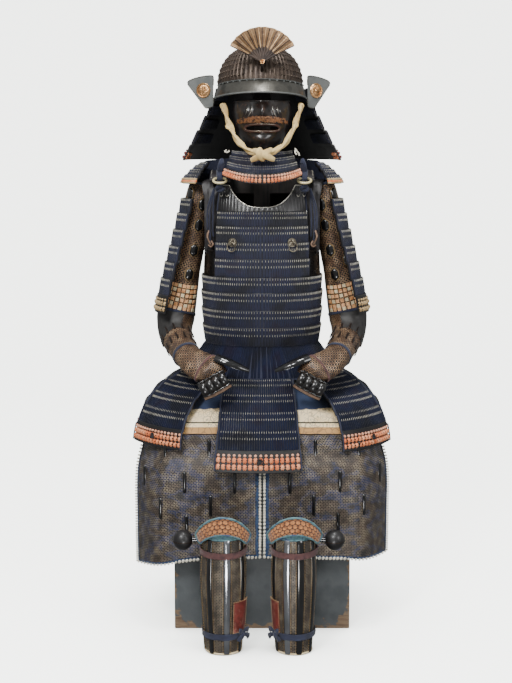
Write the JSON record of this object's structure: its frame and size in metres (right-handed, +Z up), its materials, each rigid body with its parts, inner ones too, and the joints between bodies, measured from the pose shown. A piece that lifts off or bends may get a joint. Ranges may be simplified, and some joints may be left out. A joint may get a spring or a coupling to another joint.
{
  "type": "samurai armour seated on an armour chest",
  "caption": "Laced samurai armour with helmet, mask, sleeves, thigh and shin guards, set on a plain wooden stand over a closed armour chest.",
  "frame": {"origin": "centre of the armour chest's underside, on the floor", "axes": "+Z up, the armour faces -Y, the wearer's left is +X"},
  "size_m": [0.6791, 0.719, 1.5612],
  "materials": {
    "lacing": "dark indigo silk braid laced over lacquered lames",
    "lacquer": "black lacquered leather and iron, glossy",
    "iron": "dark russet iron, satin",
    "bronze": "aged gilt copper and bronze",
    "ivory": "polished horn or bone, cream",
    "cream": "cream cotton and hemp cloth",
    "mail": "hemp cloth faced with coppery mail and plates",
    "darkMail": "hemp cloth faced with dark mail and lacquered splints",
    "hide": "dark stitched leather and black lacquered wood",
    "bristle": "brown bristle",
    "quilting": "padded cloth quilted in hexagons",
    "tape": "purple brown cotton tape",
    "chestPaint": "dark painted wood, worn at the corners",
    "standWood": "plain black stained wood"
  },
  "bodies": {
    "armour": {"chest_body": "chestPaint", "chest_lid": "chestPaint", "stand_post": "standWood", "stand_head_block": "standWood", "cuirass_front": "lacing", "cuirass_back": "lacing", "cuirass_waist_front": "lacing", "cuirass_waist_back": "lacing", "chest_plate": "lacquer", "side_plate_right": "lacquer", "shoulder_strap_right": "hide", "toggle_ring_right": "ivory", "side_plate_left": "lacquer", "shoulder_strap_left": "hide", "toggle_ring_left": "ivory", "waist_lacing": "lacing", "tasset_front": "lacing", "tasset_front_right": "lacing", "tasset_front_left": "lacing", "tasset_side_right": "lacing", "tasset_side_left": "lacing", "tasset_back_right": "lacing", "tasset_back_left": "lacing", "thigh_cloth": "cream", "thigh_panel_right": "darkMail", "thigh_panel_left": "darkMail", "sleeve_right": "mail", "finger_guard_right": "lacquer", "thumb_guard_right": "lacquer", "shoulder_guard_right": "lacing", "shoulder_wing_right": "lacing", "sleeve_left": "mail", "finger_guard_left": "lacquer", "thumb_guard_left": "lacquer", "shoulder_guard_left": "lacing", "shoulder_wing_left": "lacing", "helmet_bowl": "iron", "helmet_brim": "iron", "neck_guard": "lacing", "turnback_right": "iron", "turnback_left": "iron", "fan_crest": "bronze", "chin_cord": "cream", "face_mask": "lacquer", "moustache": "bristle", "throat_guard": "lacing", "shin_guard_right": "darkMail", "knee_guard_right": "quilting", "knee_knob_right": "hide", "shin_tie_upper_right": "tape", "shin_tie_lower_right": "lacing", "shin_guard_left": "darkMail", "knee_guard_left": "quilting", "knee_knob_left": "hide", "shin_tie_upper_left": "tape", "shin_tie_lower_left": "lacing", "ring_mount_right": "bronze", "ring_mount_left": "bronze"},
    "right_ring": {"ring_right": "bronze"},
    "left_ring": {"ring_left": "bronze"}
  },
  "joints": [
    {"name": "ring_right_swing", "type": "hinge", "parent": "armour", "child": "right_ring", "pos_m": [-0.08045, -0.13547, 1.011], "axis": [-0.9286, 0.371, 0], "range_deg": [0, 110]},
    {"name": "ring_left_swing", "type": "hinge", "parent": "armour", "child": "left_ring", "pos_m": [0.08045, -0.13547, 1.011], "axis": [-0.9286, -0.371, 0], "range_deg": [0, 110]}
  ]
}
